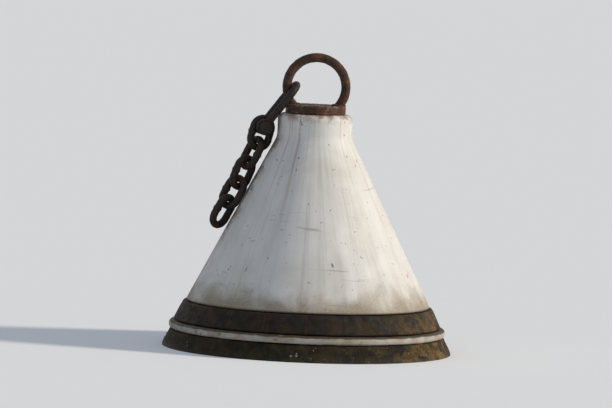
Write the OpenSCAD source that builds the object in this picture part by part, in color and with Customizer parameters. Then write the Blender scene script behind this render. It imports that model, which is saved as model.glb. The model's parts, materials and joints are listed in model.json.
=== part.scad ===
// Conical mooring buoy with a ring on top, a short chain and a swivel eye below.
// Millimetres. +Z is up, the origin is on the buoy's axis at the waterline.

/* [Hull] */
// Diameter of the hull at the waterline, its widest part
hull_d = 604; // [580:4:640]
// Height above the waterline at which the upright side turns into the cone
foot_z = 2; // [0:1:8]
// Height of the cone, from the upright side to the collar
cone_h = 440; // [410:5:470]
// Diameter of the collar under the cap plate
collar_d = 156; // [150:2:170]
// Height of the collar
collar_h = 49; // [44:1:58]
// Height of the rim's underside above the waterline
rim_z = 35; // [26:1:44]
// Thickness of the rim
rim_t = 18; // [14:1:22]
// How far the rim stands out of the cone
rim_out = 7; // [5:0.5:10]
// Radial depth of the rim, from its edge to the hull's flange
rim_depth = 22; // [18:1:26]
// Height of the rubber band above the rim
band_h = 41; // [32:1:50]
// Depth of the channel that holds the rubber band
channel_depth = 12; // [8:1:16]
// How far the rubber band stands out of the cone
band_out = 4; // [2:0.5:6]
// Depth of the upright side below the waterline
side_depth = 20; // [10:1:40]
// Height of the lower hull's taper
taper_h = 245; // [210:5:280]
// Diameter of the flat at the lower hull's end
base_d = 156; // [150:2:176]

/* [Roundings] */
// Edge of the channel above the rubber band
lip_round = 4; // [2:0.5:6]
// Blend between the upright side and the cone
foot_round = 40; // [20:5:60]
// Hollow between cone and collar
neck_round = 34; // [20:2:50]
// Top edge of the collar
collar_round = 12; // [6:1:16]
// Edge between the upright side and the taper
chine_round = 26; // [16:2:36]
// Edge of the lower hull's end
base_round = 16; // [8:1:22]
// Small edges of plates and of the side's top
edge_round = 4; // [2:0.5:5]

/* [Ring and cap] */
// Diameter of the cap plate
cap_d = 126; // [122:1:132]
// Thickness of the cap plate
cap_t = 18; // [14:1:22]
// Diameter of the ring's bar
ring_bar = 20; // [18:1:24]
// Clear width inside the ring
ring_gape = 102; // [96:1:108]
// Height of the ring's centre above the cap plate
ring_rise = 37; // [32:1:42]
// Height of the weld at each leg of the ring
weld_h = 7; // [4:1:9]
// Width of the weld around the bar
weld_w = 3; // [2:0.5:4]

/* [Rod and plate] */
// Diameter of the rod through the hull
rod_d = 28; // [24:1:30]
// Diameter of the plate under the hull
plate_d = 146; // [136:2:150]
// Thickness of the plate under the hull
plate_t = 12; // [10:1:16]
// Width across the flats of the nuts
nut_af = 46; // [44:1:50]
// Height of the nut under the plate
nut_h = 22; // [18:1:26]
// Height of the slotted nut inside the swivel
keeper_h = 20; // [18:1:24]
// Width of the slots in the slotted nut
slot_w = 7; // [5:0.5:8]
// Depth of the slots in the slotted nut
slot_h = 8; // [6:0.5:9]
// Length of rod below the slotted nut
rod_tail = 6; // [3:1:9]

/* [Swivel] */
// Height of the swivel's bridge
bridge_h = 26; // [22:1:32]
// Width of the bridge, front to back
bridge_w = 38; // [34:1:44]
// Diameter of the boss in the bridge's middle
boss_d = 62; // [58:1:70]
// Diameter of the swivel's arms
arm_d = 18; // [16:1:22]
// Clear width between the arms
arm_gape = 66; // [64:1:76]
// Straight length of the arms below the bridge
arm_h = 26; // [22:1:34]
// Diameter of the eye's hole
eye_hole = 26; // [22:1:28]
// Outer diameter of the eye
eye_d = 54; // [50:1:60]
// Thickness of the eye
eye_t = 28; // [24:1:32]

/* [Shackle] */
// Diameter of the shackle's bar
shackle_bar = 16; // [14:1:17]
// Clear width inside the shackle
shackle_gape = 32; // [30:1:38]
// Inside length of the shackle, from its bend to the pin
shackle_len = 95; // [90:1:100]
// Diameter of the pin
pin_d = 16; // [14:1:17]
// Diameter of the eyes that hold the pin
lug_d = 34; // [32:1:38]
// Width across the flats of the pin's head and nut
head_af = 24; // [22:1:28]
// Height of the pin's head
head_h = 10; // [8:1:12]
// Height of the pin's nut
pin_nut_h = 13; // [11:1:15]
// Length of pin past its nut
pin_tail = 5; // [3:1:8]
// Height of the shackle's seat on the ring above the cap plate
catch_rise = 18; // [17:0.5:21]

/* [Chain] */
// Diameter of the links' bar
link_bar = 16; // [14:0.5:16]
// Inside length of a link
link_in = 46; // [44:1:50]
// Inside width of a link
link_gape = 24; // [23:0.5:27]
// Heading of the chain, towards the front from straight left
heading = 10; // [4:1:14]
// Lean of the first link, whose lower end the links on the cone pull outwards
first_lean = 14; // [12:0.5:16]

/* [Clearances] */
// Gap where a piece lies against another
seat = 0.3; // [0.2:0.05:0.4]
// Gap of a pin or rod in its hole, on the radius
run = 0.1; // [0.05:0.01:0.1]
// Gap between the bent bars of two links
play = 0.85; // [0.8:0.05:0.95]
// Gap between the shackle's bend and the ring's bar, along the shackle, which dips across the bar
hang = 9.1; // [8.8:0.1:11]
// Gap between the first link and the collar
collar_gap = 2.4; // [2:0.1:3]
// Gap between the chain's lowest bars and the cone
lie = 0.3; // [0.2:0.1:1.2]
// How much further off the cone the chain is where it bends, under its second link
neck_off = 4; // [3:0.5:5]
// Gap above and below the swivel's bridge
float = 0.5; // [0.3:0.1:1]

/* [Hidden] */
$fn = 64;

white = "gainsboro";
rubber = "dimgray";
steel = "rosybrown";
iron = "saddlebrown";

// Radii and heights of the hull. One straight cone runs from the upright side to the collar.
hull_r = hull_d / 2;
collar_r = collar_d / 2;
cone_slope = (hull_r - collar_r) / cone_h;
function cone_at(z) = hull_r - cone_slope * (z - foot_z);

// The upright side's two roundings, each limited to half of the side's height
side_half = (foot_z + side_depth) / 2;
foot_r = min(foot_round, side_half / tan(atan(cone_slope) / 2));
chine_r = min(chine_round, side_half / tan(atan((hull_r - base_d / 2) / taper_h) / 2));

band_z = rim_z + rim_t;
joint_z = rim_z + rim_t / 2;
lip_z = band_z + band_h;
collar_z = foot_z + cone_h;
cap_z = collar_z + collar_h;
rim_r = cone_at(joint_z) + rim_out;
flange_r = rim_r - rim_depth;
ring_base_z = cap_z + cap_t;
base_z = -side_depth - taper_h;
plate_z = base_z - plate_t;
hole_r = rod_d / 2 + run;

// The ring, its bar's circle and its foot on the cap plate
ring_r = (ring_gape + ring_bar) / 2;
ring_z = ring_base_z + ring_rise;
leg_x = sqrt(ring_r * ring_r - ring_rise * ring_rise);

// Heights below the hull, downwards
bridge_z = plate_z - nut_h - float;
keeper_z = bridge_z - bridge_h - float;
rod_end = keeper_z - keeper_h - rod_tail;
arm_r = (arm_gape + arm_d) / 2;
bend_z = bridge_z - bridge_h - arm_h;
eye_z = bend_z - arm_r;

// The chain hangs in one upright plane through the shackle's seat on the ring.
// Places in that plane are [reach from the seat, height].
catch_z = ring_base_z + catch_rise;
catch_x = sqrt(ring_r * ring_r - pow(ring_z - catch_z, 2));
link_r = (link_gape + link_bar) / 2;
shackle_r = (shackle_gape + shackle_bar) / 2;
bend_inner = ring_bar / 2 + hang;
arm = shackle_len + pin_d / 2 - bend_inner;

// Reach of a place at radius r from the buoy's axis
function reach(r) = sqrt(r * r - pow(catch_x * sin(heading), 2)) - catch_x * cos(heading);

// Each link's turn about the chain's line. The first stands nearly square to the pin, and
// the next ones turn a little over a quarter each until they lie at about 45 degrees.
link_turns = [15, 114, 213, 312, 402];

// Reach of the chain's middle line where it lies on the cone, at height z.
// Of the links that lie there, the last has its lower long bar furthest from that line.
lie_off = link_r * abs(cos(link_turns[4])) + link_bar / 2 + lie;
function lie_reach(z, off) = reach(cone_at(z) + off * sqrt(1 + cone_slope * cone_slope));

// Lean of a link that hangs from p and whose lower bend comes down off the cone by off,
// found in a few passes
function lean(p, size, off = lie_off, guess = atan(cone_slope), passes = 6) =
    passes == 0 ? max(0, guess) :
    let (gap = lie_reach(p[1] - size * cos(guess), off) - p[0])
    lean(p, size, off, asin(max(-0.9, min(0.9, gap / size))), passes - 1);
function down(lean) = [sin(lean), -cos(lean)];

// The shackle leans until the first link is next to the collar
pin_reach = reach(collar_r + collar_gap + link_bar / 2) + link_r;
dip = acos(pin_reach / arm);
pin_at = [pin_reach, catch_z - arm * sin(dip)];

// Places of the links down to the given one, from the pin.
// Columns: hinge, lean, lower bend. The first link swings on the pin. The even ones
// swing on their own upper bar, and the odd ones on the lower bar of the link before.
function chain_rows(count) =
    count == 1 ?
        [[pin_at, first_lean, pin_at + (link_in - pin_d / 2 - play) * down(first_lean)]] :
    let (rows = chain_rows(count - 1),
         last = rows[count - 2],
         on_own = count % 2 == 0,
         to_hinge = on_own ? -play - link_bar / 2 : link_bar / 2,
         size = on_own ? link_in + link_bar / 2 : link_in - link_bar / 2 - play,
         hinge = last[2] + to_hinge * down(last[1]),
         slope = lean(hinge, size, lie_off + (count == 2 ? neck_off : 0)))
    concat(rows, [[hinge, slope, hinge + size * down(slope)]]);
links = chain_rows(len(link_turns));

// Corner b between a and c, rounded with radius r as an arc of a few steps
function unit(v) = v / norm(v);
function corner(a, b, c, r, steps = 8) =
    r == 0 ? [b] :
    let (u = unit(a - b), w = unit(c - b), half = acos(u * w) / 2,
         middle = b + unit(u + w) * r / sin(half),
         from = b + u * r / tan(half) - middle,
         to = b + w * r / tan(half) - middle,
         first = atan2(from[1], from[0]),
         full = atan2(to[1], to[0]) - first,
         turn = full > 180 ? full - 360 : full < -180 ? full + 360 : full)
    [for (i = [0 : steps]) middle + r * [cos(first + turn * i / steps), sin(first + turn * i / steps)]];

// Outline from rows of [radius, height, rounding]
function place(row) = [row[0], row[1]];
function outline(rows) =
    [for (i = [0 : len(rows) - 1])
        each corner(place(rows[(i + len(rows) - 1) % len(rows)]), place(rows[i]),
                    place(rows[(i + 1) % len(rows)]), rows[i][2])];

module turned(rows) {
    rotate_extrude($fn = 128) polygon(outline(rows));
}

// Hexagon nut from z = 0 downwards, with its corners chamfered
module nut(af, h, hole) {
    chamfer = af / 12;
    tip_r = af / 2 / cos(30);
    difference() {
        translate([0, 0, -h]) cylinder(d = af / cos(30), h = h, $fn = 6);
        for (end = [0, 1]) {
            translate([0, 0, -h * end]) mirror([0, 0, end]) rotate_extrude()
                polygon([[tip_r - chamfer, 0.1], [tip_r + 1, 0.1], [tip_r + 1, -chamfer], [tip_r, -chamfer * 0.6]]);
        }
        translate([0, 0, -h - 1]) cylinder(r = hole, h = h + 2);
    }
}

// Half a ring of round bar in the XZ plane, its bend upwards
module bend(r, bar) {
    rotate([90, 0, 0]) rotate_extrude(angle = 180) translate([r, 0]) circle(d = bar);
}

module hull_top() {
    color(white) turned([
        [hole_r, joint_z, 0],
        [flange_r - seat, joint_z, 0],
        [flange_r - seat, band_z, 0],
        [cone_at(band_z) - channel_depth, band_z, 0],
        [cone_at(lip_z) - channel_depth, lip_z, 0],
        [cone_at(lip_z), lip_z, lip_round],
        [collar_r, collar_z, neck_round],
        [collar_r, cap_z, collar_round],
        [hole_r, cap_z, 0]
    ]);
}

module hull_bottom() {
    color(white) turned([
        [hole_r, base_z, 0],
        [base_d / 2, base_z, base_round],
        [hull_r, -side_depth, chine_r],
        [hull_r, foot_z, foot_r],
        [cone_at(rim_z), rim_z, edge_round],
        [flange_r - seat, rim_z, 0],
        [flange_r - seat, joint_z, 0],
        [hole_r, joint_z, 0]
    ]);
}

module rim() {
    color(white) turned([
        [flange_r, rim_z, 0],
        [rim_r, rim_z, rim_t * 0.4],
        [rim_r, band_z, rim_t * 0.4],
        [flange_r, band_z, 0]
    ]);
}

module rubber_band() {
    color(rubber) turned([
        [cone_at(band_z) - channel_depth + seat, band_z, 0],
        [cone_at(band_z) + band_out, band_z, edge_round],
        [cone_at(lip_z) + band_out, lip_z, edge_round],
        [cone_at(lip_z) - channel_depth + seat, lip_z, 0]
    ]);
}

module cap_plate() {
    color(steel) turned([
        [0, cap_z, 0],
        [cap_d / 2, cap_z, edge_round / 2],
        [cap_d / 2, ring_base_z, edge_round],
        [0, ring_base_z, 0]
    ]);
}

module mooring_ring() {
    foot_turn = asin(ring_rise / ring_r);
    color(steel) difference() {
        union() {
            translate([0, 0, ring_z]) rotate([90, 0, 0]) rotate([0, 0, -foot_turn - 15])
                rotate_extrude(angle = 210 + 2 * foot_turn) translate([ring_r, 0]) circle(d = ring_bar);
            for (side = [-1, 1])
                translate([side * (leg_x + weld_w / 4), 0, ring_base_z])
                    cylinder(h = weld_h, r1 = ring_bar / 2 + weld_w, r2 = ring_bar / 2 + weld_w / 4);
        }
        translate([-ring_r * 2, -ring_r, ring_base_z - ring_r * 2])
            cube([ring_r * 4, ring_r * 2, ring_r * 2]);
    }
}

module rod() {
    color(steel) translate([0, 0, rod_end]) cylinder(d = rod_d, h = cap_z - rod_end);
}

module base_plate() {
    color(steel) turned([
        [hole_r, plate_z, 0],
        [plate_d / 2, plate_z, edge_round],
        [plate_d / 2, base_z, edge_round / 2],
        [hole_r, base_z, 0]
    ]);
}

module lock_nut() {
    color(steel) translate([0, 0, plate_z]) nut(nut_af, nut_h, hole_r);
}

module keeper_nut() {
    color(steel) difference() {
        translate([0, 0, keeper_z]) nut(nut_af, keeper_h, hole_r);
        for (turn = [0, 60, 120])
            translate([0, 0, keeper_z - keeper_h]) rotate([0, 0, turn + 30])
                translate([-nut_af, -slot_w / 2, -1]) cube([nut_af * 2, slot_w, slot_h + 1]);
    }
}

module swivel_eye() {
    color(steel) difference() {
        union() {
            translate([0, 0, bridge_z - bridge_h]) linear_extrude(bridge_h) {
                square([arm_r * 2, bridge_w], center = true);
                for (side = [-1, 1]) translate([side * arm_r, 0]) circle(d = bridge_w);
                circle(d = boss_d);
            }
            for (side = [-1, 1])
                translate([side * arm_r, 0, bend_z]) cylinder(d = arm_d, h = arm_h + 1);
            translate([0, 0, bend_z]) mirror([0, 0, 1]) bend(arm_r, arm_d);
            translate([0, eye_t / 2, eye_z]) rotate([90, 0, 0]) cylinder(d = eye_d, h = eye_t);
        }
        translate([0, 0, bridge_z - bridge_h - 1]) cylinder(r = hole_r, h = bridge_h + 2);
        translate([0, eye_t, eye_z]) rotate([90, 0, 0]) cylinder(d = eye_hole, h = eye_t * 2);
    }
}

// The chain's plane: X is its reach from the seat on the ring, Z is height
module chain_plane() {
    translate([-catch_x, 0, 0]) rotate([0, 0, 180 + heading]) children();
}

// The shackle's own frame: X runs from the ring's bar to the pin, Y along the pin
module shackle_frame() {
    chain_plane() translate([0, 0, catch_z]) rotate([0, dip, 0]) children();
}

module shackle_bow() {
    bow_x = shackle_gape / 2 - bend_inner;
    color(iron) shackle_frame() difference() {
        union() {
            translate([bow_x, 0, 0]) rotate([0, 0, 90]) rotate_extrude(angle = 180)
                translate([shackle_r, 0]) circle(d = shackle_bar);
            for (side = [-1, 1]) translate([0, side * shackle_r, 0]) {
                translate([bow_x, 0, 0]) rotate([0, 90, 0]) cylinder(d = shackle_bar, h = arm - bow_x);
                translate([arm, shackle_bar / 2, 0]) rotate([90, 0, 0]) cylinder(d = lug_d, h = shackle_bar);
            }
        }
        translate([arm, shackle_r * 2, 0]) rotate([90, 0, 0]) cylinder(r = pin_d / 2 + run, h = shackle_r * 4);
    }
}

module shackle_pin() {
    half = shackle_r + shackle_bar / 2;
    color(iron) shackle_frame() translate([arm, 0, 0]) rotate([-90, 0, 0]) {
        translate([0, 0, -half - pin_nut_h - pin_tail])
            cylinder(d = pin_d, h = 2 * half + pin_nut_h + pin_tail);
        translate([0, 0, half + head_h]) nut(head_af, head_h, 0);
    }
}

module shackle_nut() {
    half = shackle_r + shackle_bar / 2;
    color(iron) shackle_frame() translate([arm, 0, 0]) rotate([-90, 0, 0])
        translate([0, 0, -half]) nut(head_af, pin_nut_h, pin_d / 2 + run);
}

module link() {
    straight = link_in - link_gape;
    for (end = [0, 1])
        mirror([0, 0, end]) translate([0, 0, straight / 2]) bend(link_r, link_bar);
    for (side = [-1, 1])
        translate([side * link_r, 0, -straight / 2]) cylinder(d = link_bar, h = straight);
}

module chain_link(i) {
    slope = links[i - 1][1];
    middle = links[i - 1][2] - link_in / 2 * down(slope);
    color(iron) chain_plane() translate([middle[0], 0, middle[1]])
        rotate([0, -slope, 0]) rotate([0, 0, link_turns[i - 1]]) link();
}

hull_top();
hull_bottom();
rim();
rubber_band();
cap_plate();
mooring_ring();
rod();
base_plate();
lock_nut();
keeper_nut();
swivel_eye();
shackle_bow();
shackle_pin();
shackle_nut();
chain_link(1);  // chain_link_1
chain_link(2);  // chain_link_2
chain_link(3);  // chain_link_3
chain_link(4);  // chain_link_4
chain_link(5);  // chain_link_5
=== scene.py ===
import json
import math
import random

import bmesh
import bpy
import numpy
from mathutils import Matrix, Vector, noise


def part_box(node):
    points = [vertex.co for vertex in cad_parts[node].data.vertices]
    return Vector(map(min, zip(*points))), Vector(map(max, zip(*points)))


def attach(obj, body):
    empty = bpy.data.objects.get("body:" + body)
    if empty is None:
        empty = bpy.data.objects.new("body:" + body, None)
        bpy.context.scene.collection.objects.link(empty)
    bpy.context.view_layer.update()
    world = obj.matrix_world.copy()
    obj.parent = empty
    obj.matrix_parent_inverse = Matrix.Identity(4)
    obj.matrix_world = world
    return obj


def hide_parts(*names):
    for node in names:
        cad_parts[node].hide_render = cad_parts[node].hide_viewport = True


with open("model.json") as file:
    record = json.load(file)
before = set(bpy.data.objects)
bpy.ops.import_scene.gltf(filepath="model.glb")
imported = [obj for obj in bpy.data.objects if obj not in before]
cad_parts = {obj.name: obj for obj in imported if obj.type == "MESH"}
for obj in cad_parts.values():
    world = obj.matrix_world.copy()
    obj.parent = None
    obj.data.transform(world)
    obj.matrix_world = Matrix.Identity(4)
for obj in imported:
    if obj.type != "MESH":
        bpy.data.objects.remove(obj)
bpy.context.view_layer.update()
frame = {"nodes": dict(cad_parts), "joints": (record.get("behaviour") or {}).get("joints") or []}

MM = 0.001
UP, RIGHT, FRONT = Vector((0, 0, 1)), Vector((1, 0, 0)), Vector((0, -1, 0))

# Sizes of the hull, in metres, as the frame's solids have them

HULL_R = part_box("hull_bottom")[1].x
FOOT_Z = 2 * MM
SIDE_LOW = -20 * MM
BASE_R = 78 * MM
BASE_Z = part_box("hull_bottom")[0].z
RIM_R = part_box("rim")[1].x
RIM_LOW, RIM_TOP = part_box("rim")[0].z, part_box("rim")[1].z
RIM_DEPTH = 22 * MM
JOINT_Z = (RIM_LOW + RIM_TOP) / 2
LIP_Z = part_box("rubber_band")[1].z
CHANNEL_DEPTH = 12 * MM
BAND_OUT = 4 * MM
COLLAR_R = 78 * MM
COLLAR_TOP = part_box("hull_top")[1].z
COLLAR_Z = COLLAR_TOP - 49 * MM
CONE_SLOPE = (HULL_R - COLLAR_R) / (COLLAR_Z - FOOT_Z)
TAPER = (HULL_R - BASE_R) / (SIDE_LOW - BASE_Z)

# Gaps between seated pieces, and round the rod

SEAT = 0.3 * MM
BORE_GAP = 1 * MM

# Roundings of the hull's corners

SHOULDER_ROUND = 34 * MM
COLLAR_ROUND = 12 * MM
LIP_ROUND = 4 * MM
FOOT_ROUND = 40 * MM
CHINE_ROUND = 26 * MM
BASE_ROUND = 16 * MM
RIM_ROUND = 7.2 * MM
CAP_ROUND = 2 * MM

# Ring, cap and rod

CAP_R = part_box("cap_plate")[1].x
CAP_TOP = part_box("cap_plate")[1].z
RING_BAR_R = 10 * MM
RING_R = 61 * MM
RING_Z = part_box("mooring_ring")[1].z - RING_R - RING_BAR_R
RING_DIP = math.asin((RING_Z - CAP_TOP) / RING_R)
LEG_X = RING_R * math.cos(RING_DIP)
ROD_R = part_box("rod")[1].x
ROD_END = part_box("rod")[0].z
ROD_TIP = 2 * MM
THREAD_RUN = 30 * MM
ROD_PITCH = 3 * MM

# Chain and shackle

LINKS = sum(name.startswith("chain_link_") for name in frame["nodes"])
LINK_BAR_R = 8 * MM
LINK_R = 20 * MM
LINK_STRAIGHT = 22 * MM
BUTT_WELD_RISE = 1.3 * MM
BUTT_WELD_REACH = 3.2 * MM
PIN_R = 8 * MM
PIN_PITCH = 2 * MM
PIN_THREAD = 5 * MM
PIN_TIP = 1 * MM

# Split pins: the wire pair's radius, its half length and its place

SHACKLE_SPLIT_R = 1.6 * MM
SHACKLE_SPLIT_HALF = PIN_R + 1 * MM
SHACKLE_SPLIT_BACK = 2.6 * MM
KEEPER_SPLIT_R = 2 * MM
KEEPER_SPLIT_HALF = 23.4 * MM
KEEPER_SPLIT_UP = 4.5 * MM

# Welds of the ring

WELD_RIPPLES = 22
WELD_BEAD = 2.5 * MM
WELD_LEAN = 0.7 * MM
WELD_DROP = 0.28 * MM
WELD_UNEVEN = 0.35 * MM
WELD_SUNK = 0.5 * MM

# Dents of the hull as azimuth in degrees, then height, reach and depth in mm

DENTS = [(-62, 165, 52, 4.5), (34, 235, 60, 3.5), (12, 125, 38, 3.0), (118, 300, 48, 4.0),
         (205, 200, 66, 5.0)]

# Hollows that the chain has rubbed: the reach and depth of one, and the step from one to the next

RUBBING_LINKS = 3
RUB_REACH = 15 * MM
RUB_DEPTH = 1.1 * MM
RUB_BELOW = 16 * MM
RUB_STEP_DEG = 3
RUB_STEP_UP = 12 * MM
RING_RUB_REACH = 14 * MM
RING_RUB_DEPTH = 1.4 * MM

# Barnacles: how many, where, and how much of the hull stays bare of them

BARNACLES = 520
GROWTH_LOW = -235 * MM
GROWTH_TOP = RIM_LOW - 6 * MM
BARE_LOW, BARE_TOP = SIDE_LOW - 4 * MM, FOOT_Z + 10 * MM
GROWTH_SUNK = 0.8 * MM
GROWTH_PATCHES = 14
BARE_BELOW, BARE_ABOVE = 0.02, 0.12


def cone_at(height):
    """Radius of the cone at a height."""
    return HULL_R - CONE_SLOPE * (height - FOOT_Z)


def on_cone(azimuth, height):
    """A place on the cone's skin. Azimuth 0 is the front, 90 the right side, in degrees."""
    turn = math.radians(azimuth)
    return (RIGHT * math.sin(turn) + FRONT * math.cos(turn)) * cone_at(height) + UP * height


def joint(name):
    """Place and direction of a joint of the frame."""
    row = next(j for j in frame["joints"] if j["name"] == name)
    return Vector(row["pos_m"]), Vector(row["axis"]).normalized()


# Shader nodes

def tree_of(owner):
    """The emptied node tree of a material or world."""
    owner.use_nodes = True
    owner.node_tree.nodes.clear()
    return owner.node_tree


def feed(tree, socket, value):
    """Links a socket to another one, or sets it to a constant."""
    if isinstance(value, bpy.types.NodeSocket):
        tree.links.new(value, socket)
    else:
        socket.default_value = value


def put(tree, kind, settings=None, **feeds):
    """A node of this kind, with its inputs by name set or fed."""
    made = tree.nodes.new(kind)
    for key, value in (settings or {}).items():
        setattr(made, key, value)
    for key, value in feeds.items():
        feed(tree, made.inputs[key.replace("_", " ")], value)
    return made


def number(tree, operation, a, b=0.0):
    """A value worked out from one or two others."""
    made = put(tree, "ShaderNodeMath", {"operation": operation})
    feed(tree, made.inputs[0], a)
    feed(tree, made.inputs[1], b)
    return made.outputs[0]


def added(tree, a, b):
    """The sum of two values."""
    return number(tree, "ADD", a, b)


def less(tree, a, b):
    """The first value less the second."""
    return number(tree, "SUBTRACT", a, b)


def times(tree, first, *others):
    """The product of two or more values."""
    for other in others:
        first = number(tree, "MULTIPLY", first, other)
    return first


def vector(tree, operation, a, b=None):
    """A vector worked out from one or two others, or the value that the operation gives."""
    made = put(tree, "ShaderNodeVectorMath", {"operation": operation})
    feed(tree, made.inputs[0], a)
    if b is not None:
        feed(tree, made.inputs["Scale" if operation == "SCALE" else 1], b)
    return made.outputs["Value" if operation in ("DOT_PRODUCT", "LENGTH") else "Vector"]


def between(tree, value, low, high, start=0.0, stop=1.0):
    """Value mapped smoothly from low..high to start..stop."""
    return put(tree, "ShaderNodeMapRange", {"interpolation_type": "SMOOTHSTEP"},
               Value=value, From_Min=low, From_Max=high, To_Min=start, To_Max=stop).outputs[0]


def blended(tree, factor, a, b, kind="MIX"):
    """Colour b over colour a, by a factor."""
    made = put(tree, "ShaderNodeMix", {"data_type": "RGBA", "blend_type": kind})
    feed(tree, made.inputs[0], factor)
    feed(tree, made.inputs[6], a if isinstance(a, bpy.types.NodeSocket) else (*a, 1))
    feed(tree, made.inputs[7], b if isinstance(b, bpy.types.NodeSocket) else (*b, 1))
    return made.outputs[2]


def layered(tree, colour, *layers):
    """The colour with layers over it, each of them a mask, its strength and its own colour."""
    for where, strength, over in layers:
        colour = blended(tree, times(tree, where, strength), colour, over)
    return colour


def cloud(tree, position, scale, detail=4.0, roughness=0.55, distortion=0.0):
    """Noise from 0 to 1 over a position, with a scale in lumps a metre."""
    return put(tree, "ShaderNodeTexNoise", Vector=position, Scale=scale, Detail=detail,
               Roughness=roughness, Distortion=distortion).outputs["Fac"]


# Camera, lamps and floor

VIEW_ELEVATION = math.radians(3.9)
VIEW_ROLL = math.radians(2.3)
VIEW_DISTANCE = 10.6
VIEW_TARGET = Vector((-0.012, 0, 0.302))
VIEW_LENS = 300

PAPER = (0.86, 0.87, 0.88)
PAPER_STRENGTH = 0.79
EVEN_LIGHT = (0.72, 0.83, 1.0)
EVEN_STRENGTH = 0.33
FLOOR_HALF = 160
FLOOR_GLOW = 0.14

# Suns as the way to the lamp, strength, spread in degrees and colour

KEY_SUN = ((0.94, -0.10, 0.42), 2.9, 8, (1.0, 0.90, 0.76))
FILL_SUN = ((-0.6, -0.75, 0.4), 0.14, 50, (0.86, 0.92, 1.0))


def add_camera():
    """A camera at the photograph's viewing angle, rolled by the buoy's lean."""
    data = bpy.data.cameras.new("camera")
    data.lens = VIEW_LENS
    data.clip_start = 0.1
    data.clip_end = 400
    camera = bpy.data.objects.new("camera", data)
    bpy.context.scene.collection.objects.link(camera)
    back = Vector((0, -math.cos(VIEW_ELEVATION), math.sin(VIEW_ELEVATION)))
    turn = back.to_track_quat("Z", "Y").to_matrix().to_4x4() @ Matrix.Rotation(VIEW_ROLL, 4, "Z")
    camera.matrix_world = Matrix.Translation(VIEW_TARGET + back * VIEW_DISTANCE) @ turn
    bpy.context.scene.camera = camera


def add_sun(name, towards, strength, spread_deg, colour):
    """A sun lamp that shines from a direction, with a soft edge to its shadow."""
    data = bpy.data.lights.new(name, "SUN")
    data.energy = strength
    data.angle = math.radians(spread_deg)
    data.color = colour
    lamp = bpy.data.objects.new(name, data)
    bpy.context.scene.collection.objects.link(lamp)
    lamp.matrix_world = Vector(towards).to_track_quat("Z", "Y").to_matrix().to_4x4()


def light_world():
    """A pale backdrop for the camera and for mirrors, and an even light for the rest."""
    world = bpy.data.worlds.new("studio")
    bpy.context.scene.world = world
    tree = tree_of(world)
    path = put(tree, "ShaderNodeLightPath").outputs
    seen = number(tree, "MAXIMUM", path["Is Camera Ray"], path["Is Glossy Ray"])
    clear = number(tree, "MAXIMUM", seen, path["Is Transmission Ray"])
    even = put(tree, "ShaderNodeBackground", Color=(*EVEN_LIGHT, 1), Strength=EVEN_STRENGTH)
    paper = put(tree, "ShaderNodeBackground", Color=(*PAPER, 1), Strength=PAPER_STRENGTH)
    both = put(tree, "ShaderNodeMixShader")
    feed(tree, both.inputs[0], clear)
    feed(tree, both.inputs[1], even.outputs[0])
    feed(tree, both.inputs[2], paper.outputs[0])
    put(tree, "ShaderNodeOutputWorld", Surface=both.outputs[0])


def add_floor():
    """A pale floor at the waterline."""
    material = bpy.data.materials.new("floor_paper")
    tree = tree_of(material)
    seen = put(tree, "ShaderNodeLightPath").outputs["Is Camera Ray"]
    shader = put(tree, "ShaderNodeBsdfPrincipled", Base_Color=(*PAPER, 1), Roughness=0.9,
                 Specular_IOR_Level=0.0, Emission_Color=(*PAPER, 1),
                 Emission_Strength=times(tree, seen, FLOOR_GLOW))
    put(tree, "ShaderNodeOutputMaterial", Surface=shader.outputs[0])
    work = bmesh.new()
    bmesh.ops.create_grid(work, x_segments=2, y_segments=2, size=FLOOR_HALF)
    finish_mesh("floor", work, material)


# Meshes

def finish_mesh(name, work, material):
    """An object of the finished bmesh, smooth and at the origin, with its one material."""
    mesh = bpy.data.meshes.new(name)
    work.to_mesh(mesh)
    work.free()
    mesh.materials.append(material)
    for face in mesh.polygons:
        face.use_smooth = True
    piece = bpy.data.objects.new(name, mesh)
    bpy.context.scene.collection.objects.link(piece)
    return piece


def finish_piece(name, work, finish, body, nodes=(), sharp_deg=None):
    """A finished piece that rides its body, with its material."""
    piece = finish_mesh(name, work, MATERIALS[finish])
    if sharp_deg:
        piece.data.set_sharp_from_angle(angle=math.radians(sharp_deg))
    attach(piece, body)
    if nodes:
        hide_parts(*nodes)


def rounded_outline(rows, steps=6):
    """Points of a closed outline from rows of (radius, height, rounding)."""
    points = []
    for i, (radius, height, rounding) in enumerate(rows):
        here = Vector((radius, height))
        if not rounding:
            points.append(here)
            continue
        before = (Vector(rows[i - 1][:2]) - here).normalized()
        after = (Vector(rows[(i + 1) % len(rows)][:2]) - here).normalized()
        half = before.angle(after) / 2
        centre = here + (before + after).normalized() * rounding / math.sin(half)
        start = here + before * rounding / math.tan(half) - centre
        turn = start.angle_signed(here + after * rounding / math.tan(half) - centre)
        for step in range(steps + 1):
            points.append(centre + Matrix.Rotation(-turn * step / steps, 2) @ start)
    return points


def divided(points, longest):
    """The same outline with its long stretches cut into pieces no longer than this."""
    out = []
    for a, b in zip(points, points[1:]):
        count = max(1, math.ceil((b - a).length / longest))
        out += [a.lerp(b, k / count) for k in range(count)]
    return out + [points[-1]]


def turned(points, around):
    """A closed skin of revolution from an outline of (radius, height) points."""
    work = bmesh.new()
    verts = [work.verts.new((max(p[0], 0), 0, p[1])) for p in points]
    edges = [work.edges.new(pair) for pair in zip(verts, verts[1:])]
    if points[0][0] > 1e-6 and points[-1][0] > 1e-6:
        edges.append(work.edges.new((verts[-1], verts[0])))
    bmesh.ops.spin(work, geom=verts + edges, cent=(0, 0, 0), axis=(0, 0, 1), angle=math.tau,
                   steps=around, use_merge=True)
    bmesh.ops.remove_doubles(work, verts=work.verts, dist=1e-6)
    bmesh.ops.recalc_face_normals(work, faces=work.faces)
    return work


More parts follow.
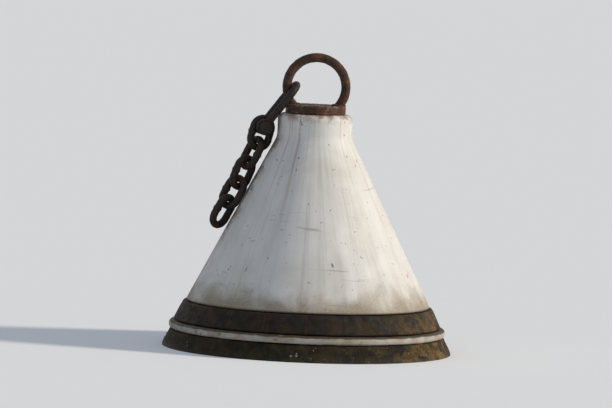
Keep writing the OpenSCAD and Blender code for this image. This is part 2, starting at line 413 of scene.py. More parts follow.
def arc(centre, side, up, radius, start, stop, steps):
    """Points of an arc in the plane of two directions, from one angle to another."""
    angles = [start + (stop - start) * k / steps for k in range(steps + 1)]
    return [centre + side * radius * math.cos(a) + up * radius * math.sin(a) for a in angles]


def add_bar(work, path, normal, radius, sides=24, closed=False):
    """A round bar along a flat path, with the path's normal. Radius is a number or one for each point."""
    loops = []
    for i, point in enumerate(path):
        before = path[i - 1] if i or closed else point
        after = path[(i + 1) % len(path)] if i < len(path) - 1 or closed else point
        way = (after - before).normalized()
        turn = Matrix((normal, way.cross(normal), way)).transposed().to_4x4()
        size = radius[i] if isinstance(radius, list) else radius
        ends = not closed and i in (0, len(path) - 1)
        made = bmesh.ops.create_circle(work, cap_ends=ends, segments=sides, radius=size,
                                       matrix=Matrix.Translation(point) @ turn)["verts"]
        ring = set(made)
        loops.append([e for v in made for e in v.link_edges if e.verts[0] in ring and e.verts[1] in ring])
    pairs = list(zip(loops, loops[1:]))
    if closed:
        pairs.append((loops[-1], loops[0]))
    for first, second in pairs:
        bmesh.ops.bridge_loops(work, edges=list(set(first + second)))
    bmesh.ops.recalc_face_normals(work, faces=work.faces)


def add_split_pin(work, centre, along, side, radius, half):
    """A split pin through a hole: an eye at one end, two legs bent apart at the other."""
    normal = along.cross(side)
    wire = radius / 2
    eye = radius * 1.6
    for way in (-1, 1):
        out = side * way
        start = centre - along * (half + eye * 1.7)
        path = arc(start, out, along, eye - wire, -math.pi / 2, math.pi / 3, 10)
        path += [centre - along * half + out * wire, centre + along * (half - radius) + out * wire]
        bend = 3 * radius
        path += arc(path[-1] + out * bend, -out, along, bend, 0.15, math.radians(60 + 12 * way), 6)
        path.append(path[-1] + (path[-1] - path[-2]).normalized() * radius * 1.2)
        add_bar(work, path, normal, wire * 0.96, 10)


def worn(work, depth, size, seed):
    """Sinks the skin by an uneven depth, as knocks, pitting and casting leave it."""
    work.normal_update()
    offset = Vector((seed, seed * 0.37, 0))
    for vert in work.verts:
        value = noise.fractal(vert.co / size + offset, 1.0, 2.0, 3)
        vert.co -= vert.normal * depth * min(1, max(0, 0.5 + 0.6 * value))


def dented(work, dents):
    """Presses round hollows into the skin. Rows are (place, reach, depth)."""
    work.normal_update()
    for place, reach, depth in dents:
        for vert in work.verts:
            share = (vert.co - place).length / reach
            if share < 1:
                vert.co -= vert.normal * depth * (1 - share * share) ** 2


def frame_of(centre, along, side):
    """A matrix that puts Z along the first direction and X near the second."""
    z = along.normalized()
    y = z.cross(side).normalized()
    return Matrix.Translation(centre) @ Matrix((y.cross(z), y, z)).transposed().to_4x4()


def thread_outline(radius, low, high, pitch):
    """Outline of a threaded bar's side, from low to high, with V grooves."""
    count = max(1, round((high - low) / pitch))
    points = []
    for k in range(count):
        z = low + (high - low) * k / count
        points += [Vector((radius - pitch * 0.45, z)), Vector((radius, z + pitch * 0.4)),
                   Vector((radius, z + pitch * 0.6))]
    return points + [Vector((radius - pitch * 0.45, high))]


def cut_below(work, height):
    """Cuts the mesh off below a height."""
    bmesh.ops.bisect_plane(work, geom=work.verts[:] + work.edges[:] + work.faces[:], dist=1e-6,
                           plane_co=(0, 0, height), plane_no=(0, 0, -1), clear_outer=True)
    bmesh.ops.holes_fill(work, edges=[e for e in work.edges if e.is_boundary], sides=0)


def rough_copy(node, longest):
    """A merged copy of a solid's mesh, cut finely enough to take wear."""
    work = bmesh.new()
    work.from_mesh(frame["nodes"][node].data)
    bmesh.ops.remove_doubles(work, verts=work.verts, dist=1e-6)
    for _ in range(5):
        long_edges = [e for e in work.edges if e.calc_length() > longest]
        if not long_edges:
            break
        bmesh.ops.subdivide_edges(work, edges=long_edges, cuts=1)
        bmesh.ops.triangulate(work, faces=work.faces)
    return work


def node_axes(node):
    """Centre, long direction and flat normal of a solid that is symmetric about its middle."""
    low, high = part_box(node)
    centre = (low + high) / 2
    places = numpy.array([v.co for v in frame["nodes"][node].data.vertices]) - numpy.array(centre)
    _, ways = numpy.linalg.eigh(places.T @ places)
    return centre, Vector(ways[:, 2]), Vector(ways[:, 0])


# Shared masks: the nodes of each, and the numbers that it takes in a group

def blotches(tree, position, scale, low, high):
    """Soft-edged blotches. They start where the noise passes low and are full where it passes high."""
    return between(tree, cloud(tree, position, scale, 5.0, 0.6, 0.4), low, high)


def grains(tree, position, scale, low, high, least):
    """Fine grain that never falls below a least value."""
    return between(tree, cloud(tree, position, scale, 3.0, 0.75), low, high, least)


def streaks(tree, position, count, length, low, high):
    """Streaks that run down a round hull, fine around it and long along it."""
    parts = put(tree, "ShaderNodeSeparateXYZ", Vector=position).outputs
    flat = put(tree, "ShaderNodeCombineXYZ", X=parts["X"], Y=parts["Y"]).outputs[0]
    around = vector(tree, "SCALE", vector(tree, "NORMALIZE", flat), count)
    along = put(tree, "ShaderNodeCombineXYZ", Z=times(tree, parts["Z"], length)).outputs[0]
    return between(tree, cloud(tree, vector(tree, "ADD", around, along), 1.0, 6.0, 0.65, 0.15), low, high)


def ragged_edge(tree, position, soft, scale):
    """A soft mask given a grainy edge, as corrosion and dried growth have."""
    shift = times(tree, less(tree, cloud(tree, position, scale, 3.0, 0.75), 0.5), 1.8)
    return between(tree, added(tree, soft, shift), 0.3, 0.7)


def painted_sun_glow(tree, position, side, side_full):
    """Painted sunlight: a golden glow laid above the waterline on the right side, where the key light falls,
    broken into blotches and grain.
    """
    parts = put(tree, "ShaderNodeSeparateXYZ", Vector=position).outputs
    # Painted sunlight: full on the right side, from Side to Side Full along X, and above the waterline
    sunlit_side = times(tree, between(tree, parts["X"], side, side_full), between(tree, parts["Z"], -0.03, 0.0))
    broken = times(tree, blotches(tree, position, 26, 0.40, 0.54),
                   between(tree, cloud(tree, position, 75, 5.0), 0.35, 0.62, 0.35))
    return times(tree, sunlit_side, broken, grains(tree, position, 380, 0.40, 0.56, 0.22))


SHARED_MASKS = {
    "patches": (blotches, {"Scale": 8.0, "Low": 0.45, "High": 0.6}),
    "specks": (grains, {"Scale": 400.0, "Low": 0.4, "High": 0.6, "Least": 0.0}),
    "runs": (streaks, {"Count": 20.0, "Length": 2.0, "Low": 0.5, "High": 0.7}),
    "ragged": (ragged_edge, {"Soft": 0.5, "Scale": 400.0}),
    # The last mask is golden painted sunlight on the right side
    "painted_sun": (painted_sun_glow, {"Side": 0.12, "Side Full": 0.30}),
}
GROUPS = {}
MATERIALS = {}


def new_group(name, numbers, outputs):
    """An empty node group with Position, named number inputs and named outputs."""
    tree = bpy.data.node_groups.new(name, "ShaderNodeTree")
    tree.interface.new_socket("Position", in_out="INPUT", socket_type="NodeSocketVector")
    for key, value in numbers.items():
        socket = tree.interface.new_socket(key, in_out="INPUT", socket_type="NodeSocketFloat")
        socket.default_value = value
    for key, kind in outputs.items():
        tree.interface.new_socket(key, in_out="OUTPUT", socket_type=kind)
    return tree, put(tree, "NodeGroupInput").outputs, put(tree, "NodeGroupOutput").inputs


def make_masks():
    """The groups of the shared masks."""
    for name, (nodes, numbers) in SHARED_MASKS.items():
        tree, given, out = new_group(name, numbers, {"Mask": "NodeSocketFloat"})
        feed(tree, out["Mask"], nodes(tree, given["Position"], *(given[key] for key in numbers)))
        GROUPS[name] = tree


RUST_STOPS = ((0.25, (0.035, 0.022, 0.016)), (0.45, (0.10, 0.045, 0.022)),
              (0.6, (0.22, 0.085, 0.03)), (0.8, (0.36, 0.16, 0.055)))


def make_rust():
    """The group of rust colours with their pits. Amount moves the share of bright and dark rust."""
    tree, given, out = new_group("rust", {"Scale": 60.0, "Amount": 0.5},
                                 {"Color": "NodeSocketColor", "Height": "NodeSocketFloat"})
    position, scale = given["Position"], given["Scale"]
    coarse = cloud(tree, position, scale, 6.0, 0.7)
    ramp = put(tree, "ShaderNodeValToRGB")
    feed(tree, ramp.inputs[0], added(tree, coarse, less(tree, given["Amount"], 0.5)))
    bands = ramp.color_ramp.elements
    for band, (place, colour) in zip(bands, (RUST_STOPS[0], RUST_STOPS[-1])):
        band.position, band.color = place, (*colour, 1)
    for place, colour in RUST_STOPS[1:-1]:
        bands.new(place).color = (*colour, 1)
    grain = cloud(tree, position, times(tree, scale, 9.0), 3.0, 0.75)
    shade = between(tree, grain, 0.36, 0.62, 0.45, 1.3)
    feed(tree, out["Color"], blended(tree, 1.0, ramp.outputs["Color"], shade, "MULTIPLY"))
    pits = put(tree, "ShaderNodeTexVoronoi", {"feature": "SMOOTH_F1"}, Vector=position,
               Scale=times(tree, scale, 4.0)).outputs["Distance"]
    lumps = added(tree, times(tree, coarse, 0.7), times(tree, pits, 0.5))
    feed(tree, out["Height"], added(tree, lumps, times(tree, grain, 0.35)))
    GROUPS["rust"] = tree


def mask(tree, name, position, *values):
    """A shared mask placed in a material, with its own numbers in the order of SHARED_MASKS."""
    made = put(tree, "ShaderNodeGroup", {"node_tree": GROUPS[name]}, Position=position)
    for key, value in zip(SHARED_MASKS[name][1], values):
        feed(tree, made.inputs[key], value)
    return made.outputs["Mask"]


def rust(tree, position, scale, amount):
    """Rust placed in a material: its colour and its height."""
    made = put(tree, "ShaderNodeGroup", {"node_tree": GROUPS["rust"]}, Position=position,
               Scale=scale, Amount=amount)
    return made.outputs["Color"], made.outputs["Height"]


# Colours, in linear red, green and blue

PAINT, CHALK = (0.76, 0.75, 0.725), (0.67, 0.65, 0.605)
GRIME = (0.33, 0.32, 0.30)
SCUFF = (0.24, 0.21, 0.18)
SPECK = (0.16, 0.115, 0.075)
RUST_RUN = (0.36, 0.17, 0.075)
RUST_FILM = (0.25, 0.12, 0.055)
RUST_SMEAR = (0.27, 0.15, 0.085)
RUST_BLED = (0.34, 0.17, 0.08)
SCORED = (0.075, 0.06, 0.05)
FOOT_DIRT = (0.20, 0.14, 0.06)
SEAM_DIRT = (0.05, 0.04, 0.025)
WET_BLACK, WET_BROWN = (0.009, 0.007, 0.005), (0.030, 0.019, 0.008)
WEED = (0.028, 0.033, 0.010)
SHELL_BITS = (0.25, 0.21, 0.15)
DRY_GROWTH = (0.09, 0.052, 0.018)
# Golden painted sunlight for the right side of the dark lower hull
PAINTED_SUN_GOLD = (0.27, 0.165, 0.05)
RIM_CLEAN, RIM_DULL = (0.46, 0.43, 0.39), (0.30, 0.26, 0.20)
RIM_STAIN, RIM_CHIP = (0.045, 0.032, 0.017), (0.16, 0.11, 0.05)
RUBBER, RUBBER_BROWN = (0.011, 0.009, 0.008), (0.030, 0.019, 0.009)
# The second of these is golden painted sunlight for the band's right side
RUBBER_RUN, RUBBER_PAINTED_SUN = (0.10, 0.055, 0.018), (0.23, 0.138, 0.045)
ZINC, ZINC_DULL = (0.20, 0.195, 0.185), (0.12, 0.115, 0.11)
RUBBED_STEEL = (0.10, 0.085, 0.075)
BLACK_IRON = (0.028, 0.025, 0.023)
SHELL, SHELL_DARK = (0.34, 0.31, 0.25), (0.13, 0.115, 0.08)


# Materials

def start_material(name, gloss=0.4):
    """A material with its tree, its object coordinates, their parts and its shader."""
    material = bpy.data.materials.new(name)
    tree = tree_of(material)
    position = put(tree, "ShaderNodeTexCoord").outputs["Object"]
    parts = put(tree, "ShaderNodeSeparateXYZ", Vector=position).outputs
    shader = put(tree, "ShaderNodeBsdfPrincipled", Specular_IOR_Level=gloss)
    put(tree, "ShaderNodeOutputMaterial", Surface=shader.outputs[0])
    return material, tree, position, parts, shader


def dress(tree, shader, colour, rough, height, strength, depth, metal=0.0):
    """Feeds a shader its colour, roughness and metal, and the bump of its surface."""
    feed(tree, shader.inputs["Base Color"], colour)
    feed(tree, shader.inputs["Roughness"], rough)
    feed(tree, shader.inputs["Metallic"], metal)
    bump = put(tree, "ShaderNodeBump", Strength=strength, Distance=depth, Height=height)
    feed(tree, shader.inputs["Normal"], bump.outputs[0])


def behind_chain(tree, position, height, low, high, reach):
    """Mask of the strip of hull behind the chain's plane, from a low to a high height."""
    top, _ = joint("link_1_lift")
    bottom, _ = joint(f"link_{LINKS}_lift")
    way = Vector((bottom.x - top.x, bottom.y - top.y, 0)).normalized()
    wandering = times(tree, less(tree, cloud(tree, position, 25), 0.5), 0.05)
    aside = vector(tree, "DOT_PRODUCT", vector(tree, "SUBTRACT", position, top), Vector((-way.y, way.x, 0)))
    off = number(tree, "ABSOLUTE", added(tree, aside, wandering))
    ahead = vector(tree, "DOT_PRODUCT", position, way)
    near = times(tree, between(tree, off, reach, reach * 0.3), between(tree, ahead, 0.0, 0.04))
    return times(tree, near, between(tree, height, low - 0.03, low + 0.03),
                 between(tree, height, high + 0.02, high - 0.03))


def weathered(tree, position, height):
    """Off-white plastic with chalky patches, grime, and rust run down and spread from the cap."""
    base = blended(tree, mask(tree, "patches", position, 9, 0.35, 0.7), PAINT, CHALK)
    near_cap = between(tree, height, 0.16, COLLAR_TOP)
    rusty = times(tree, mask(tree, "runs", position, 9, 1.1, 0.55, 0.68), near_cap)
    soft = mask(tree, "patches", position, 45, 0.35, 0.6)
    film = added(tree, times(tree, soft, 0.55), times(tree, mask(tree, "ragged", position, soft, 360), 0.25))
    under_cap = between(tree, height, COLLAR_TOP - 0.022, COLLAR_TOP - 0.002)
    return layered(tree, base,
                   (mask(tree, "runs", position, 14, 3.0, 0.46, 0.74), 0.34, GRIME),
                   (rusty, 0.6, RUST_RUN),
                   (under_cap, film, RUST_FILM))


def chain_stained(tree, position, height, colour):
    """The colour with what the chain has smeared, scored and bled on the hull behind it."""
    last = joint(f"link_{LINKS}_lift")[0].z
    soft = mask(tree, "patches", position, 38, 0.38, 0.58)
    smeared = times(tree, behind_chain(tree, position, height, last - 0.06, COLLAR_TOP, 0.05),
                    mask(tree, "ragged", position, soft, 360))
    scored = times(tree, behind_chain(tree, position, height, last - 0.05, COLLAR_TOP - 0.03, 0.028),
                   mask(tree, "patches", position, 90, 0.46, 0.56))
    bled = times(tree, behind_chain(tree, position, height, LIP_Z, last, 0.035),
                 mask(tree, "runs", position, 30, 2.0, 0.42, 0.62))
    return layered(tree, colour, (smeared, 0.7, RUST_SMEAR), (scored, 0.8, SCORED), (bled, 0.6, RUST_BLED))


def knocked(tree, position, height, colour):
    """The colour with level scuffs, dirty specks, a dirty foot and a dark seam at the band."""
    level = cloud(tree, vector(tree, "MULTIPLY", position, (7, 7, 70)), 1.0, 5.0, 0.6, 0.6)
    scuffed = times(tree, between(tree, level, 0.61, 0.67), mask(tree, "patches", position, 7, 0.48, 0.60))
    foot_edge = added(tree, height, times(tree, cloud(tree, position, 16), -0.10))
    foot = times(tree, between(tree, foot_edge, LIP_Z + 0.01, LIP_Z - 0.05),
                 mask(tree, "specks", position, 420, 0.38, 0.58, 0.74))
    return layered(tree, colour,
                   (scuffed, 0.45, SCUFF),
                   (mask(tree, "patches", position, 75, 0.655, 0.69), 0.75, SPECK),
                   (foot, 0.85, FOOT_DIRT),
                   (between(tree, height, LIP_Z + 0.007, LIP_Z + 0.001), 0.7, SEAM_DIRT))


def hull_white():
    """The hull's top: weathered off-white plastic with the chain's marks and a dirty foot."""
    material, tree, position, parts, shader = start_material("hull_white")
    height = parts["Z"]
    colour = weathered(tree, position, height)
    colour = chain_stained(tree, position, height, colour)
    colour = knocked(tree, position, height, colour)
    rough = between(tree, cloud(tree, position, 30), 0.3, 0.7, 0.48, 0.72)
    skin = added(tree, times(tree, cloud(tree, position, 420, 3.0), 0.5), cloud(tree, position, 55, 6.0))
    dress(tree, shader, colour, rough, skin, 0.28, 0.0012)
    return material


def hull_wet():
    """The lower hull under brown and green growth, dried where it stands above the waterline, with golden
    painted sunlight on its right side.
    """
    material, tree, position, parts, shader = start_material("hull_wet", 0.2)
    height = parts["Z"]
    base = blended(tree, mask(tree, "patches", position, 26, 0.38, 0.62), WET_BLACK, WET_BROWN)
    dry = times(tree, between(tree, height, 0.012, RIM_LOW), mask(tree, "patches", position, 18, 0.45, 0.62))
    colour = layered(tree, base,
                     (mask(tree, "patches", position, 70, 0.5, 0.66), 0.6, WEED),
                     (mask(tree, "patches", position, 150, 0.64, 0.70), 0.5, SHELL_BITS),
                     (dry, 0.35, DRY_GROWTH),
                     # Golden painted sunlight on the right side above the waterline
                     (mask(tree, "painted_sun", position), 0.85, PAINTED_SUN_GOLD))
    rough = between(tree, height, -0.01, 0.02, 0.4, 0.8)
    fine = times(tree, cloud(tree, position, 480, 2.0), 0.4)
    lumps = added(tree, cloud(tree, position, 90, 6.0, 0.7), fine)
    dress(tree, shader, colour, rough, lumps, 0.8, 0.004)
    return material


def rim_pale():
    """The rim: pale plastic rubbed clean on its edge, stained above and below."""
    material, tree, position, parts, shader = start_material("rim_pale")
    off = number(tree, "ABSOLUTE", less(tree, parts["Z"], JOINT_Z - 1.5 * MM))
    base = blended(tree, mask(tree, "patches", position, 20, 0.35, 0.7), RIM_CLEAN, RIM_DULL)
    ragged = added(tree, off, times(tree, cloud(tree, position, 40), 0.006))
    colour = layered(tree, base,
                     (between(tree, ragged, 0.0075, 0.0105), 1.0, RIM_STAIN),
                     (mask(tree, "patches", position, 60, 0.56, 0.66), 0.8, RIM_CHIP))
    rough = between(tree, cloud(tree, position, 60), 0.3, 0.7, 0.5, 0.8)
    dress(tree, shader, colour, rough, cloud(tree, position, 160, 5.0, 0.7), 0.45, 0.0015)
    return material


def band_rubber():
    """Black rubber with brown growth in patches and runs, and golden painted sunlight on its right side."""
    material, tree, position, _, shader = start_material("band_rubber", 0.2)
    base = blended(tree, mask(tree, "patches", position, 30, 0.4, 0.66), RUBBER, RUBBER_BROWN)
    colour = layered(tree, base,
                     (mask(tree, "runs", position, 40, 8.0, 0.55, 0.72), 0.5, RUBBER_RUN),
                     # Golden painted sunlight on the band's right side
                     (mask(tree, "painted_sun", position), 0.7, RUBBER_PAINTED_SUN))
    rough = between(tree, cloud(tree, position, 80), 0.3, 0.7, 0.6, 0.85)
    dress(tree, shader, colour, rough, cloud(tree, position, 240, 5.0, 0.7), 0.6, 0.002)
    return material


def galvanised():
    """Old dull zinc with rust coming through."""
    material, tree, position, _, shader = start_material("galvanised")
    zinc = blended(tree, mask(tree, "patches", position, 120, 0.4, 0.6), ZINC, ZINC_DULL)
    rust_colour, pits = rust(tree, position, 55, 0.42)
    through = mask(tree, "ragged", position, mask(tree, "patches", position, 34, 0.34, 0.52), 420)
    colour = blended(tree, through, zinc, rust_colour)
    rough = between(tree, through, 0, 1, 0.55, 0.88)
    dress(tree, shader, colour, rough, pits, 0.6, 0.0012, times(tree, less(tree, 1.0, through), 0.35))
    return material


def ring_steel():
    """Rusty round bar, rubbed darker and smoother inside the bend."""
    material, tree, position, parts, shader = start_material("ring_steel")
    rust_colour, pits = rust(tree, position, 48, 0.36)
    centre = put(tree, "ShaderNodeCombineXYZ", X=parts["X"], Z=less(tree, parts["Z"], RING_Z))
    reach = vector(tree, "LENGTH", centre.outputs[0])
    rubbed = times(tree, between(tree, reach, RING_R - 0.004, RING_R - 0.009),
                   between(tree, parts["Z"], RING_Z - 0.005, RING_Z + 0.035, 0.0, 0.75))
    colour = blended(tree, rubbed, rust_colour, RUBBED_STEEL)
    rough = between(tree, rubbed, 0, 1, 0.85, 0.45)
    dress(tree, shader, colour, rough, pits, 0.55, 0.0012, times(tree, rubbed, 0.8))
    return material


def chain_iron():
    """Nearly black iron with rust in its hollows."""
    material, tree, position, _, shader = start_material("chain_iron", 0.25)
    rust_colour, pits = rust(tree, position, 70, 0.30)
    black = times(tree, mask(tree, "patches", position, 45, 0.40, 0.50),
                  mask(tree, "specks", position, 520, 0.38, 0.55, 0.35))
    colour = blended(tree, black, rust_colour, BLACK_IRON)
    rough = between(tree, black, 0, 1, 0.85, 0.55)
    dress(tree, shader, colour, rough, pits, 0.7, 0.0013, times(tree, black, 0.5))
    return material


def barnacle_shell():
    """Chalky grey shell, darker in blotches."""
    material, tree, position, _, shader = start_material("barnacle_shell")
    colour = blended(tree, mask(tree, "patches", position, 160, 0.35, 0.65), SHELL, SHELL_DARK)
    rough = between(tree, cloud(tree, position, 200), 0.3, 0.7, 0.7, 0.9)
    dress(tree, shader, colour, rough, cloud(tree, position, 700, 3.0), 0.5, 0.0008)
    return material


# Pieces

def rubbed_places():
    """Middles of the hollows that the last links have rubbed in the cone, where each comes near it."""
    for i in range(LINKS - RUBBING_LINKS + 1, LINKS + 1):
        low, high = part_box(f"chain_link_{i}")
        centre = (low + high) / 2
        azimuth = math.degrees(math.atan2(centre.x, -centre.y))
        for step in (-1, 0, 1):
            yield on_cone(azimuth + step * RUB_STEP_DEG, centre.z - RUB_BELOW + step * RUB_STEP_UP)


def build_hull_top():
    """The white cone and its collar, dented by knocks and rubbed by the chain."""
    bore = ROD_R + BORE_GAP
    flange = RIM_R - RIM_DEPTH - SEAT
    rows = [(bore, JOINT_Z, 0), (flange, JOINT_Z, 0), (flange, RIM_TOP, 0),
            (cone_at(RIM_TOP) - CHANNEL_DEPTH, RIM_TOP, 0), (cone_at(LIP_Z) - CHANNEL_DEPTH, LIP_Z, 0),
            (cone_at(LIP_Z), LIP_Z, LIP_ROUND), (COLLAR_R, COLLAR_Z, SHOULDER_ROUND),
            (COLLAR_R, COLLAR_TOP, COLLAR_ROUND), (bore, COLLAR_TOP, 0)]
    work = turned(divided(rounded_outline(rows), 5 * MM), around=288)
    dented(work, [(on_cone(azimuth, height * MM), reach * MM, depth * MM)
                  for azimuth, height, reach, depth in DENTS])
    dented(work, [(place, RUB_REACH, RUB_DEPTH) for place in rubbed_places()])
    worn(work, depth=1.0 * MM, size=110 * MM, seed=3)
    finish_piece("hull_cone", work, "hull_white", "buoy", ["hull_top"])


def build_hull_bottom():
    """The lower hull, from the rim down to its flat end."""
    bore = ROD_R + BORE_GAP
    flange = RIM_R - RIM_DEPTH - SEAT
    rows = [(bore, BASE_Z, 0), (BASE_R, BASE_Z, BASE_ROUND), (HULL_R, SIDE_LOW, CHINE_ROUND),
            (HULL_R, FOOT_Z, FOOT_ROUND), (cone_at(RIM_LOW), RIM_LOW, LIP_ROUND), (flange, RIM_LOW, 0),
            (flange, JOINT_Z, 0), (bore, JOINT_Z, 0)]
    work = turned(divided(rounded_outline(rows), 6 * MM), around=256)
    worn(work, depth=1.6 * MM, size=40 * MM, seed=8)
    finish_piece("hull_under", work, "hull_wet", "buoy", ["hull_bottom"])


def build_rim():
    """The pale rim between the hull's halves, a little uneven along its edge."""
    rows = [(RIM_R - RIM_DEPTH, RIM_LOW, 0), (RIM_R, RIM_LOW, RIM_ROUND), (RIM_R, RIM_TOP, RIM_ROUND),
            (RIM_R - RIM_DEPTH, RIM_TOP, 0)]
    work = turned(divided(rounded_outline(rows, 8), 5 * MM), around=320)
    worn(work, depth=1.0 * MM, size=22 * MM, seed=12)
    finish_piece("rim_ridge", work, "rim_pale", "buoy", ["rim"])


def build_band():
    """The rubber band, standing out of its channel in the cone."""
    inside = SEAT - CHANNEL_DEPTH
    rows = [(cone_at(RIM_TOP) + inside, RIM_TOP, 0), (cone_at(RIM_TOP) + BAND_OUT, RIM_TOP, LIP_ROUND),
            (cone_at(LIP_Z) + BAND_OUT, LIP_Z, LIP_ROUND), (cone_at(LIP_Z) + inside, LIP_Z, 0)]
    work = turned(divided(rounded_outline(rows), 4 * MM), around=320)
    worn(work, depth=1.3 * MM, size=18 * MM, seed=21)
    finish_piece("rubber_belt", work, "band_rubber", "buoy", ["rubber_band"])


def build_cap():
    """The steel plate on the collar."""
    rows = [(0, COLLAR_TOP, 0), (CAP_R, COLLAR_TOP, CAP_ROUND), (CAP_R, CAP_TOP, 2 * CAP_ROUND),
            (0, CAP_TOP, 0)]
    work = turned(divided(rounded_outline(rows), 3 * MM), around=128)
    worn(work, depth=0.7 * MM, size=9 * MM, seed=31)
    finish_piece("cap_disc", work, "galvanised", "buoy", ["cap_plate"])


def build_ring():
    """The ring's bar, its ends sunk in the cap, with a hollow where the shackle hangs."""
    work = bmesh.new()
    foot = RING_DIP + math.radians(4)
    path = arc(UP * RING_Z, RIGHT, UP, RING_R, -foot, math.pi + foot, 120)
    add_bar(work, path, FRONT, RING_BAR_R, 32)
    worn(work, depth=0.6 * MM, size=8 * MM, seed=5)
    worn(work, depth=0.4 * MM, size=3 * MM, seed=6)
    seat = joint("shackle_lift")[0] + RIGHT * RING_BAR_R
    dented(work, [(seat, RING_RUB_REACH, RING_RUB_DEPTH)])
    finish_piece("ring_bar", work, "ring_steel", "buoy", ["mooring_ring"])


def build_ring_weld(name, side):
    """A bead of weld round one leg of the ring, rippled by the welder's steps."""
    steps = WELD_RIPPLES * 6
    around, sizes = [], []
    for turn in (math.tau * k / steps for k in range(steps)):
        reach = LEG_X + RING_BAR_R / math.cos(RING_DIP) * math.cos(turn)
        around.append(Vector((side * reach, RING_BAR_R * math.sin(turn), CAP_TOP)))
        ripple = WELD_DROP * math.cos(WELD_RIPPLES * turn) + WELD_UNEVEN * noise.noise(around[-1] / (6 * MM))
        sizes.append(WELD_BEAD - WELD_LEAN * math.cos(turn) + ripple)
    work = bmesh.new()
    add_bar(work, around, UP, sizes, 14, closed=True)
    cut_below(work, CAP_TOP - WELD_SUNK)
    finish_piece(name, work, "ring_steel", "buoy")


def build_links():
    """The chain's links, each with the bulge of its butt weld on one straight side."""
    for i in range(1, LINKS + 1):
        centre, along, normal = node_axes(f"chain_link_{i}")
        side = along.cross(normal)
        half = along * LINK_STRAIGHT / 2
        path = arc(centre + half, side, along, LINK_R, 0, math.pi, 28)
        path += [path[-1] - half * 2 * k / 14 for k in range(1, 14)]
        path += arc(centre - half, side, along, LINK_R, math.pi, math.tau, 28)
        path += [path[-1] + half * 2 * k / 14 for k in range(1, 14)]
        weld = centre + side * LINK_R * (1 if i % 2 else -1)
        near = [math.exp(-((place - weld).length / BUTT_WELD_REACH) ** 2) for place in path]
        work = bmesh.new()
        add_bar(work, path, normal, [LINK_BAR_R + BUTT_WELD_RISE * share for share in near], closed=True)
        worn(work, depth=0.6 * MM, size=6 * MM, seed=40 + i)
        finish_piece(f"link_{i}", work, "chain_iron", f"link_{i}", [f"chain_link_{i}"])


def build_forgings(rows, finish, body, depth, size):
    """Forged pieces with knocks in their skin. Rows are (piece, node, longest edge in mm)."""
    for name, node, longest in rows:
        work = rough_copy(node, longest * MM)
        worn(work, depth=depth, size=size, seed=len(name))
        finish_piece(name, work, finish, body, [node], 40)


def build_shackle():
    """The shackle's bow, pin and nut, the thread that shows at the pin's end and its split pin."""
    build_forgings((("shackle_body", "shackle_bow", 4), ("shackle_bolt", "shackle_pin", 4),
                    ("shackle_hexagon", "shackle_nut", 3)), "chain_iron", "shackle", 0.45 * MM, 6 * MM)
    seat, _ = joint("shackle_lift")
    pin, lift = joint("link_1_lift")
    flat = (pin - seat).normalized().cross(lift)
    places = [(v.co - pin).dot(lift) for v in frame["nodes"]["shackle_pin"].data.vertices]
    end = max(places, key=abs)
    tail, end = lift * math.copysign(1, end), abs(end)
    low, high = end - PIN_THREAD, end - PIN_TIP
    work = turned([Vector((0, low))] + thread_outline(PIN_R + 0.25 * MM, low, high, PIN_PITCH)
                  + [Vector((0, high))], around=48)
    bmesh.ops.transform(work, matrix=frame_of(pin, tail, flat), verts=work.verts)
    finish_piece("shackle_thread", work, "chain_iron", "shackle")
    work = bmesh.new()
    hole = pin + tail * (end - SHACKLE_SPLIT_BACK)
    add_split_pin(work, hole, flat, tail, SHACKLE_SPLIT_R, SHACKLE_SPLIT_HALF)
    finish_piece("shackle_split_pin", work, "chain_iron", "shackle")


def build_rod():
    """The rod through the hull, threaded at its lower end."""
    thread_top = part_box("swivel_eye")[1].z + THREAD_RUN
    rows = [Vector((0, ROD_END)), Vector((ROD_R - ROD_PITCH, ROD_END))]
    rows += thread_outline(ROD_R, ROD_END + ROD_TIP, thread_top, ROD_PITCH)
    rows += [Vector((ROD_R, thread_top + 1 * MM)), Vector((ROD_R, COLLAR_TOP)), Vector((0, COLLAR_TOP))]
    finish_piece("through_rod", turned(divided(rows, 40 * MM), around=64), "galvanised", "buoy", ["rod"], 50)


def build_swivel():
    """The plate, the nuts and the swivel under the hull, with the keeper nut's split pin."""
    build_forgings((("under_plate", "base_plate", 4), ("lock_hexagon", "lock_nut", 4),
                    ("keeper_hexagon", "keeper_nut", 4)), "galvanised", "buoy", 0.5 * MM, 7 * MM)
    build_forgings((("swivel_forging", "swivel_eye", 4),), "galvanised", "swivel", 0.5 * MM, 7 * MM)
    work = bmesh.new()
    middle = UP * (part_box("keeper_nut")[0].z + KEEPER_SPLIT_UP)
    add_split_pin(work, middle, FRONT, RIGHT, KEEPER_SPLIT_R, KEEPER_SPLIT_HALF)
    finish_piece("keeper_split_pin", work, "galvanised", "buoy")


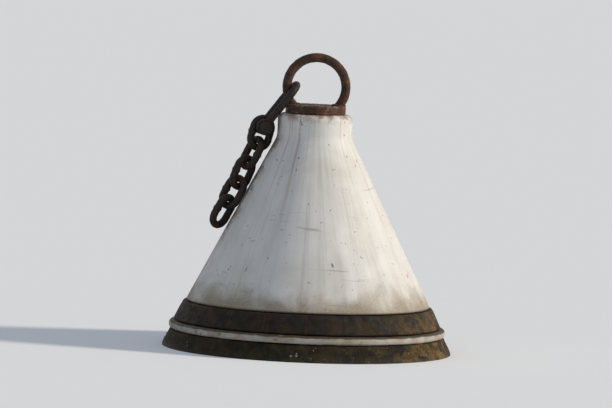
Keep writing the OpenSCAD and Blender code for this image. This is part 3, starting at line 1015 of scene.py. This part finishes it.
def add_barnacle(work, place, out, size, rise):
    """A barnacle's cone on the skin, with its mouth sunk in."""
    grown = bmesh.ops.create_cone(work, cap_ends=True, segments=8, radius1=size, radius2=size / 2,
                                  depth=rise, matrix=frame_of(place + out * rise * 0.3, out, UP))
    ends = {f for v in grown["verts"] for f in v.link_faces if len(f.verts) == 8}
    mouth = max(ends, key=lambda f: f.calc_center_median().dot(out))
    bmesh.ops.inset_individual(work, faces=[mouth], thickness=size * 0.16, depth=-rise * 0.45)


def build_growth():
    """Barnacles on the lower hull, in patches, thickest below the waterline."""
    chance = random.Random(11)
    work = bmesh.new()
    placed = 0
    while placed < BARNACLES:
        turn = chance.uniform(0, math.tau)
        height = chance.uniform(GROWTH_LOW, GROWTH_TOP)
        if BARE_LOW <= height < BARE_TOP:
            continue
        wet = height < BARE_LOW
        radius = HULL_R - TAPER * (SIDE_LOW - height) if wet else cone_at(height) - GROWTH_SUNK
        place = Vector((radius * math.cos(turn), radius * math.sin(turn), height))
        bare = noise.noise(place * GROWTH_PATCHES) < (BARE_BELOW if wet else BARE_ABOVE)
        if bare or chance.random() > radius / HULL_R:
            continue
        out = Vector((math.cos(turn), math.sin(turn), -TAPER if wet else CONE_SLOPE)).normalized()
        size = (chance.uniform(2.0, 4.6) if wet else chance.uniform(1.3, 2.8)) * MM
        add_barnacle(work, place, out, size, size * chance.uniform(0.7, 1.0))
        placed += 1
    finish_piece("barnacles", work, "barnacle_shell", "buoy", sharp_deg=30)


def main():
    """The stage, the materials and then every piece of the buoy."""
    bpy.context.scene.view_settings.view_transform = "Standard"
    add_camera()
    add_sun("key_sun", *KEY_SUN)
    add_sun("fill_sun", *FILL_SUN)
    light_world()
    add_floor()
    make_masks()
    make_rust()
    for maker in (hull_white, hull_wet, rim_pale, band_rubber, galvanised, ring_steel, chain_iron,
                  barnacle_shell):
        MATERIALS[maker.__name__] = maker()
    build_hull_top()
    build_hull_bottom()
    build_rim()
    build_band()
    build_cap()
    build_ring()
    build_ring_weld("ring_weld_left", -1)
    build_ring_weld("ring_weld_right", 1)
    build_links()
    build_shackle()
    build_rod()
    build_swivel()
    build_growth()


main()
